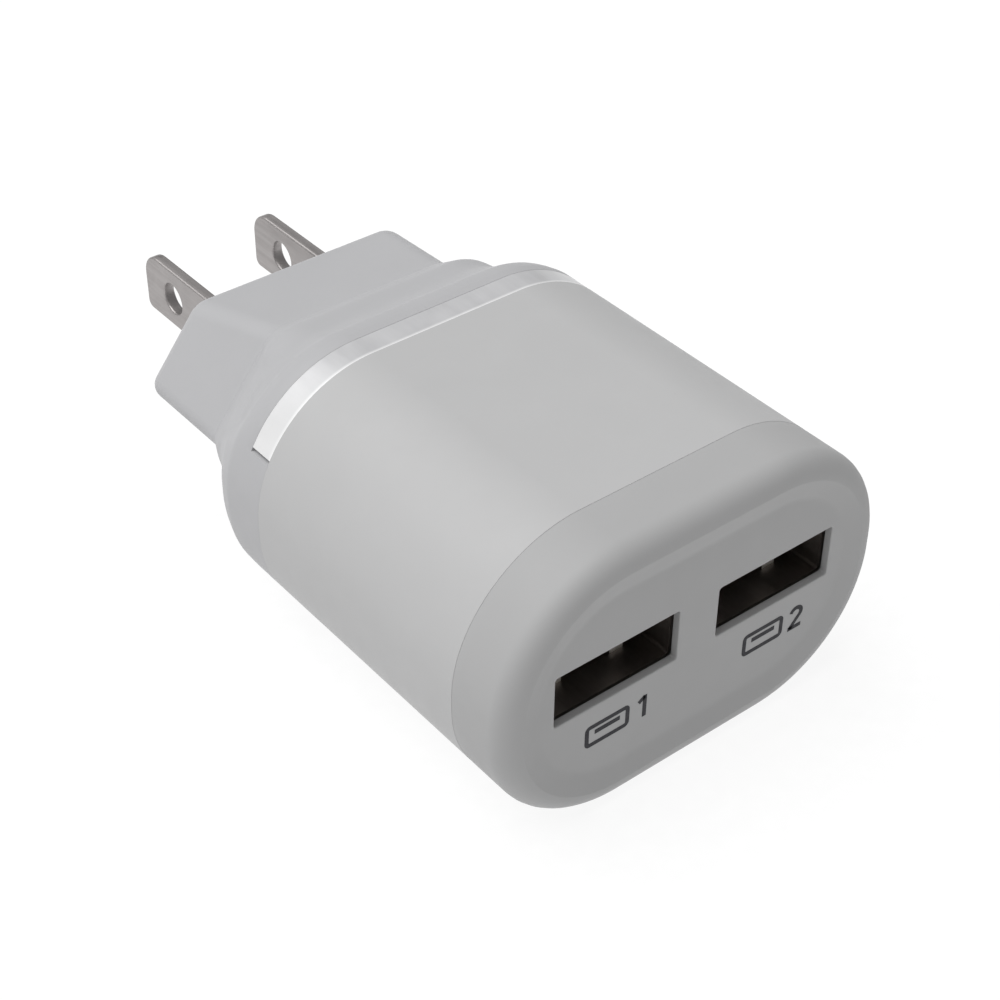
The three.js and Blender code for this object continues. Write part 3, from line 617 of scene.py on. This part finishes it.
def front_cap():
    """A dished face inside a rounded rim, and a spigot that plugs into the sleeve."""
    bm = bmesh.new()
    plate_inset = 4.3
    dish_inset, dish_radius = 3.9, 2.5
    land_inset, land_radius = 2.0, 0.3
    rim_radius = 1.95
    taper_length, taper_inset, taper_radius = 0.7, 0.02, 1.5
    spigot_root, spigot_lead_in = 0.01, 0.25
    cavity_edge, cavity_radius = 0.1, 0.4
    back_y = FACE_Y + FACE_THICKNESS
    end = CAP_END - SEAM / 2
    spigot_end = CAP_END + SPIGOT_LENGTH
    profile = filleted([
        (plate_inset, FACE_Y, 0),
        (dish_inset, FACE_Y, dish_radius),
        (land_inset, 0, land_radius),
        (0, 0, rim_radius),
        (0, end - taper_length, taper_radius),
        (taper_inset, end, SEAM_EDGE),
        (SEAM_DEPTH, end, 0),
        (SEAM_DEPTH, CAP_END, 0),
        (SPIGOT_INSET, CAP_END, spigot_root),
        (SPIGOT_INSET, spigot_end, spigot_lead_in),
        (CAVITY_INSET, spigot_end, cavity_edge),
        (CAVITY_INSET, back_y, cavity_radius),
        (plate_inset, back_y, 0),
    ], steps=7)
    rings = swept(bm, profile)
    add_strip(bm, rings)
    ports = [port_rings(bm, side) for side in (-1, 1)]
    add_plate(bm, rings[0], *[port[0] for port in ports])
    add_plate(bm, rings[-1], *[port[-1] for port in ports])
    return finish_piece("cap_moulding", bm, "cap_casing", ["front_cap"])


# ---------- sleeve ----------


def main_sleeve():
    """The straight middle of the casing, with rails for the long edges of the board."""
    bm = bmesh.new()
    mouth_radius = 0.1
    start, end = CAP_END + SEAM / 2, SLEEVE_END - SEAM / 2
    profile = filleted([
        (0, start, SEAM_EDGE),
        (0, end, SEAM_EDGE),
        (WALL, end, mouth_radius),
        (WALL, start, mouth_radius),
    ], closed=True, steps=4)
    add_strip(bm, swept(bm, profile), closed=True)
    rail_reach, rail_ends, rail_height, rail_edge = (16.2, 18.5), (9.6, 29.3), 1, 0.15
    for side in (-1, 1):
        low_x, high_x = sorted(side * x for x in rail_reach)
        for z in (-1.7, -4.9):
            rounded_box(bm, (low_x, rail_ends[0], z), (high_x, rail_ends[1], z + rail_height),
                        rail_edge)
    return finish_piece("sleeve_moulding", bm, "casing", ["main_sleeve"])


# ---------- rear shell ----------

# The neck narrows to the head: [y, share of the head at the sides, share on top].
NECK = [
    [36.0, 0, 0],
    [36.9, 0.003, 0.04],
    [37.5, 0.01, 0.085],
    [38.2, 0.06, 0.2],
    [38.9, 0.12, 0.31],
    [39.5, 0.19, 0.39],
    [40.1, 0.285, 0.465],
    [40.8, 0.41, 0.53],
    [41.6, 0.53, 0.567],
    [42.4, 0.635, 0.585],
    [43.2, 0.735, 0.62],
    [44.3, 0.83, 0.78],
    [NECK_END, 1, 1],
]


def neck_stations(inset=0.0):
    full, head = body_section(inset), head_section(HEAD_TOP_AT_NECK, inset)
    return [(blended(full, head, sides, top), y) for y, sides, top in NECK]


def head_top(y):
    share = (y - NECK_END) / (HEAD_END - HEAD_END_RADIUS - NECK_END)
    return HEAD_TOP_AT_NECK + share * (HEAD_TOP_AT_END - HEAD_TOP_AT_NECK)


def neck_and_head():
    """Quarters from the end of the band to the rounded end of the head, each with its y."""
    straight_end = HEAD_END - HEAD_END_RADIUS
    stations = smoothed(neck_stations(), NECK_STEPS)
    for y in np.linspace(NECK_END, straight_end, HEAD_STEPS + 1)[1:]:
        stations.append((plain_quarter(head_section(head_top(y))), y))
    for k in range(1, HEAD_STEPS + 1):
        angle = math.pi / 2 * k / HEAD_STEPS
        inset = HEAD_END_RADIUS * (1 - math.cos(angle))
        stations.append((plain_quarter(head_section(HEAD_TOP_AT_END, inset)),
                         straight_end + HEAD_END_RADIUS * math.sin(angle)))
    return stations


def slot_rings(bm, side):
    """The walls of one blade slot, from the end of the head inwards."""
    gap, edge, corner_radius = 0.12, 0.15, 0.15
    centre = (side * BLADE_SPACING / 2, 0)
    rings = []
    for growth, y in ((edge, HEAD_END), (edge / 3, HEAD_END - edge / 3), (0, HEAD_END - edge),
                      (0, HEAD_END - HEAD_END_WALL)):
        rings.append(add_ring(bm, rectangle(
            centre, BLADE_THICKNESS / 2 + gap + growth, BLADE_HEIGHT / 2 + gap + growth,
            corner_radius + growth, y, steps=3)))
    add_strip(bm, rings)
    return rings


def rear_shell():
    """Spigot, band with the seat of the light strip, neck and plug head in one moulding."""
    bm = bmesh.new()
    band_start = SLEEVE_END + SEAM / 2
    spigot_start = SLEEVE_END - SPIGOT_LENGTH
    lead_in = 0.2
    edge = 0.015
    ease = edge * 0.3
    # Each row: inset below the notch plane, inset above it, y
    rows = [
        (CAVITY_INSET, CAVITY_INSET, spigot_start),
        (SPIGOT_INSET + lead_in, SPIGOT_INSET + lead_in, spigot_start),
        (SPIGOT_INSET, SPIGOT_INSET, spigot_start + lead_in),
        (SPIGOT_INSET, SPIGOT_INSET, SLEEVE_END),
        (SEAM_DEPTH, NOTCH_INSET, SLEEVE_END),
        (SEAM_DEPTH, NOTCH_INSET, band_start),
        (edge, NOTCH_INSET, band_start),
        (ease, NOTCH_INSET, band_start + ease),
        (0, NOTCH_INSET, band_start + edge),
        (0, NOTCH_INSET, BAND_END),
        (0, edge, BAND_END),
        (0, ease, BAND_END + ease),
        (0, 0, BAND_END + edge),
    ]
    rings = []
    for low, high, y in rows:
        upper = body_section(high) if high != low else None
        rings.append(add_ring(bm, outline(body_section(low), y, upper)))
    rings += [add_ring(bm, mirrored(points, points, y)) for points, y in neck_and_head()]
    add_strip(bm, rings)
    cavity = plain_quarter(body_section(CAVITY_INSET))
    inner = [(cavity, y) for y in (spigot_start, CAVITY_STEP_Y)]
    inner += [(points, y) for points, y in neck_stations(WALL) if y > CAVITY_STEP_Y]
    head_back = plain_quarter(head_section(HEAD_TOP_AT_END, WALL))
    inner.append((head_back, HEAD_END - HEAD_END_WALL))
    inner_rings = [add_ring(bm, mirrored(points, points, y)) for points, y in inner]
    add_strip(bm, inner_rings)
    slots = [slot_rings(bm, side) for side in (-1, 1)]
    add_plate(bm, rings[-1], *[slot[0] for slot in slots])
    add_plate(bm, inner_rings[-1], *[slot[-1] for slot in slots])
    return finish_piece("rear_moulding", bm, "rear_casing", ["rear_shell"])


# ---------- light strip ----------


def light_strip():
    """A band bent over the top, with a stem in the middle that leads down to the indicator."""
    bm = bmesh.new()
    side_gap, front_edge, back_edge, inner_edge = 0.005, 0.015, 0.01, 0.1
    y0, y1 = SLEEVE_END + side_gap, BAND_END - side_gap
    outer, inner = GUIDE_INSET, GUIDE_INSET + GUIDE_THICKNESS
    profile = filleted([
        (outer, y0, front_edge),
        (outer, y1, back_edge),
        (inner, y1, inner_edge),
        (inner, y0, inner_edge),
    ], closed=True, steps=4)
    rings = []
    for side in (1, -1):
        for t in np.linspace(0, 1, GUIDE_RINGS)[::side]:
            ring = []
            for inset, y in profile:
                radius = CORNER_RADIUS - inset
                lowest = math.asin((GUIDE_LOWEST_Z - STRAIGHT_Z) / radius)
                angle = lowest + t * (math.pi / 2 - lowest)
                ring.append((side * (STRAIGHT_X + radius * math.cos(angle)), y,
                             STRAIGHT_Z + radius * math.sin(angle)))
            rings.append(add_ring(bm, ring))
    add_strip(bm, rings)
    bm.faces.new(rings[0])
    bm.faces.new(rings[-1])
    stem_half, stem_foot, stem_top, stem_edge = 0.8, -0.3, 11.8, 0.12
    middle_y = (SLEEVE_END + BAND_END) / 2
    rounded_box(bm, (-stem_half, middle_y - stem_half, stem_foot),
                (stem_half, middle_y + stem_half, stem_top), stem_edge)
    return finish_piece("light_strip", bm, "light_guide", ["light_guide"])


# ---------- blades ----------


def blade(side, name):
    """A stamped blade: rounded tip, round hole, softened edges."""
    half = BLADE_HEIGHT / 2
    edge, steps = 0.22, 5
    lower_corner, upper_corner = 0.8, 2.4
    hole_radius, hole_setback, hole_steps = 1.6, 5, 48
    middle = side * BLADE_SPACING / 2

    def contour(inset, x):
        line = filleted([
            (BLADE_START, -half + inset, 0),
            (OVERALL_LENGTH - inset, -half + inset, lower_corner - inset),
            (OVERALL_LENGTH - inset, half - inset, upper_corner - inset),
            (BLADE_START, half - inset, 0),
        ], steps=12)
        return add_ring(bm, [(x, y, z) for y, z in line])

    def hole(growth, x):
        radius, centre = hole_radius + growth, OVERALL_LENGTH - hole_setback
        turns = [2 * math.pi * k / hole_steps for k in range(hole_steps)]
        return add_ring(bm, [
            (x, centre + radius * math.cos(a), radius * math.sin(a)) for a in turns])

    bm = bmesh.new()
    outer, holes = [], []
    for face in (-1, 1):
        for k in range(steps + 1)[::face]:
            angle = math.pi / 2 * k / steps
            inset = edge * (1 - math.cos(angle))
            x = middle + face * (BLADE_THICKNESS / 2 - edge * (1 - math.sin(angle)))
            outer.append(contour(inset, x))
            holes.append(hole(inset, x))
    add_strip(bm, outer)
    add_strip(bm, holes)
    add_plate(bm, outer[0], holes[0])
    add_plate(bm, outer[-1], holes[-1])
    return finish_piece("blade_" + name + "_stamping", bm, "blade_metal", ["blade_" + name])


# ---------- sockets ----------


def port_middle(port):
    """The x of port 1 or 2."""
    return (port * 2 - 3) * PORT_SPACING / 2


def socket_can(port):
    """Folded sheet, with a leg on each side that passes through the board."""
    bm = bmesh.new()
    centre = (port_middle(port), PORT_Z)
    half_x, half_z = SOCKET_WIDTH / 2, SOCKET_HEIGHT / 2
    outer_radius, inner_radius = 0.6, 0.3
    loops = []
    for shrink, radius, ys in ((0, outer_radius, (SOCKET_START, SOCKET_END)),
                               (SOCKET_SHEET, inner_radius, (SOCKET_END, SOCKET_START))):
        for y in ys:
            loops.append(add_ring(bm, rectangle(
                centre, half_x - shrink, half_z - shrink, radius, y)))
    add_strip(bm, loops, closed=True)
    leg_start, leg_end, leg_foot, leg_edge = 11.2, 13, -4.6, 0.08
    for side in (-1, 1):
        outer = centre[0] + side * half_x
        low_x, high_x = sorted((outer, outer - side * SOCKET_SHEET))
        rounded_box(bm, (low_x, leg_start, leg_foot), (high_x, leg_end, PORT_Z), leg_edge)
    # The can wears the darkened steel, painted shade for the inside of the port.
    return finish_piece(f"usb_{port}_can", bm, "socket_steel", [f"usb_{port}_shell"])


SPRING_OFFSET = 3.2
# From the spring's root to its tip: [y, how far it stands in from the wall].
SPRING_BOW = [
    (9.5, 0.02),
    (7.6, 0.35),
    (6.0, 0.75),
    (5.1, 0.9),
    (4.6, 0.86),
    (4.35, 0.6),
    (4.25, 0.14),
]


def socket_springs(port):
    """Tongues of the can's broad walls, bowed inwards to grip a plug."""
    bm = bmesh.new()
    half_width, half_sheet = 0.7, 0.12
    for offset in (-SPRING_OFFSET, SPRING_OFFSET):
        middle = port_middle(port) + offset
        for wall in (-1, 1):
            base = PORT_Z + wall * (SOCKET_HEIGHT / 2 - SOCKET_SHEET)
            upper = [(y, base - wall * (rise + half_sheet)) for y, rise in SPRING_BOW]
            lower = [(y, base - wall * (rise - half_sheet)) for y, rise in SPRING_BOW]
            rings = [
                add_ring(bm, [(middle + w, y, z) for y, z in upper + lower[::-1]])
                for w in (-half_width, half_width)]
            add_strip(bm, rings)
            for ring in rings:
                bm.faces.new(ring)
    # The springs wear the paler steel, a painted glint.
    return finish_piece(f"usb_{port}_springs", bm, "socket_steel", material=painted_glint_spring_material)


# ---------- printed marks ----------


INK_HEIGHT = 0.015
INK_DEPTH = 0.005
LINE = 0.42
BAR_LINE = 0.45
MARK_PLACES = {1: (-8.0, -4.5), 2: (8.9, -4.4)}


def stroke(bm, points, width, closed=False):
    """A thin printed line through (x, z) points on the face."""
    points = [Vector(p) for p in points]
    count = len(points)
    sharpest = 0.5
    edges = []
    for i, point in enumerate(points):
        before = points[i - 1] if closed or i else None
        after = points[(i + 1) % count] if closed or i + 1 < count else None
        first = (point - before).normalized() if before else None
        second = (after - point).normalized() if after else None
        ahead = ((first or second) + (second or first)).normalized()
        side = Vector((-ahead.y, ahead.x))
        reach = width / 2 / max(ahead.dot(second or first), sharpest)
        edges.append((point + side * reach, point - side * reach))
    front, back = FACE_Y - INK_HEIGHT, FACE_Y + INK_DEPTH
    loops = []
    for left, right in edges:
        loops.append(add_ring(bm, [
            (left.x, front, left.y), (right.x, front, right.y),
            (right.x, back, right.y), (left.x, back, left.y)]))
    add_strip(bm, loops, closed=closed)
    if not closed:
        bm.faces.new(loops[0])
        bm.faces.new(loops[-1])


def mouth_picture(bm, x, z):
    """A socket's mouth with its tongue."""
    half_width, half_height, radius = 2.1, 0.95, 0.3
    outline_points = rectangle((x, z), half_width, half_height, radius, 0)
    stroke(bm, [(px, pz) for px, _, pz in outline_points], LINE, closed=True)
    tongue_half, tongue_rise = 1.3, 0.25
    stroke(bm, [(x - tongue_half, z + tongue_rise), (x + tongue_half, z + tongue_rise)], BAR_LINE)


def numeral_one(bm, x, z):
    stem_x, half_height = x + 0.1, 1.15
    stroke(bm, [(x - 0.55, z + 0.6), (stem_x, z + 1.05)], LINE)
    stroke(bm, [(stem_x, z + half_height), (stem_x, z - half_height)], LINE)


def numeral_two(bm, x, z):
    bow_x, bow_z, bow_rise = 0.6, 0.55, 0.5
    foot_z = z - 1.02
    turns = np.linspace(math.radians(165), math.radians(-35), 12)
    bow = [(x + bow_x * math.cos(a), z + bow_rise + bow_z * math.sin(a)) for a in turns]
    stroke(bm, bow + [(x - bow_x, foot_z)], LINE)
    stroke(bm, [(x - 0.78, foot_z), (x + 0.72, foot_z)], LINE)


def port_mark(port):
    """A small picture of a socket's mouth, then the port's number."""
    bm = bmesh.new()
    x, z = MARK_PLACES[port]
    picture_x, numeral_x = x - 1.2, x + 2.6
    mouth_picture(bm, picture_x, z)
    numeral = numeral_one if port == 1 else numeral_two
    numeral(bm, numeral_x, z)
    return finish_piece(f"port_{port}_mark", bm, None, material=ink_material)


front_cap()
main_sleeve()
rear_shell()
light_strip()
for side, name in ((-1, "left"), (1, "right")):
    blade(side, name)
for port in (1, 2):
    socket_can(port)
    socket_springs(port)
    port_mark(port)

# ---------- carried-over CAD nodes ----------

CAD_SLOTS = {
    "lead_wire_left": "wire_black",
    "lead_wire_right": "wire_red",
    "blade_carrier": "carrier_plastic",
    "main_board": "board_laminate",
    "fusible_resistor": "resistor_body",
    "bridge_rectifier": "black_moulding",
    "filter_inductor": "inductor_body",
    "y_capacitor": "blue_coating",
    "input_capacitor": "input_can",
    "output_capacitor": "output_can",
    "transformer_core": "ferrite",
    "transformer_bobbin": "bobbin_plastic",
    "transformer_winding": "winding_tape",
    "switching_controller": "black_moulding",
    "output_rectifier": "black_moulding",
    "optocoupler": "black_moulding",
    "indicator_led": "indicator_lens",
    "usb_1_tongue": "black_moulding",
    "usb_2_tongue": "black_moulding",
    "usb_1_contact_leaf": "contact_gold",
    "usb_2_contact_leaf": "contact_gold",
    "usb_1_contact_tail": "contact_tin",
    "usb_2_contact_tail": "contact_tin",
}
CAD_EDGE = 0.06
CAD_EDGE_ANGLE = math.radians(40)
WELD_DISTANCE = 1e-6

for name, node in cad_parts.items():
    if node.hide_render:
        continue
    slot = next(s for start, s in CAD_SLOTS.items() if name.startswith(start))
    node.data.materials.clear()
    node.data.materials.append(materials[slot])
    weld = node.modifiers.new("joined", "WELD")
    weld.merge_threshold = WELD_DISTANCE
    bevel = node.modifiers.new("soft_edges", "BEVEL")
    bevel.width = CAD_EDGE * MM
    bevel.segments = 2
    bevel.limit_method = "ANGLE"
    bevel.angle_limit = CAD_EDGE_ANGLE

# ---------- stage, lights and camera ----------

FLOOR_SIZE = 6.0
FLOOR_DROP = 0.00005
KEY_TOWARDS = (-0.30, 0.25, 0.92)
KEY_STRENGTH = 2.75
KEY_SPREAD = 60
floor_mesh = bpy.data.meshes.new("floor")
corner = FLOOR_SIZE / 2
floor_mesh.from_pydata(
    [(-corner, -corner, 0), (corner, -corner, 0), (corner, corner, 0), (-corner, corner, 0)],
    [], [(0, 1, 2, 3)])
floor = bpy.data.objects.new("floor", floor_mesh)
scene.collection.objects.link(floor)
floor.location.z = -FLOOR_DROP
paper = Nodes("paper", (0.14, 0.14, 0.14), 0.9, Specular_IOR_Level=0.0)
paper.set("Emission Color", (1, 1, 1, 1))
paper.set("Emission Strength", 0.88)
fibres = paper.noise(1.5, detail=4.0)
paper.paint(paper.mixed(paper.spread(fibres, 0, 1), (0.13, 0.13, 0.13), (0.15, 0.15, 0.15)))
floor_mesh.materials.append(paper.material)

world = bpy.data.worlds.new("studio")
scene.world = world
world.use_nodes = True
sky = world.node_tree.nodes["Background"]
sky.inputs["Color"].default_value = (1, 1, 1, 1)
sky.inputs["Strength"].default_value = 0.3


def sun(name, towards, strength, spread_degrees):
    lamp = bpy.data.lights.new(name, "SUN")
    lamp.energy = strength
    lamp.angle = math.radians(spread_degrees)
    holder = bpy.data.objects.new(name, lamp)
    holder.rotation_euler = Vector(towards).to_track_quat("Z", "Y").to_euler()
    scene.collection.objects.link(holder)


sun("key", KEY_TOWARDS, KEY_STRENGTH, KEY_SPREAD)

scene.view_settings.view_transform = "Standard"

CAMERA_PLACE = (-0.087616, -0.118931, 0.120999)
CAMERA_DEGREES = (51.643, -0.503, -38.662)
camera_data = bpy.data.cameras.new("camera")
camera_data.lens = 73.36
camera_data.sensor_width = 36
camera = bpy.data.objects.new("camera", camera_data)
camera.location = CAMERA_PLACE
camera.rotation_euler = [math.radians(angle) for angle in CAMERA_DEGREES]
scene.collection.objects.link(camera)
scene.camera = camera
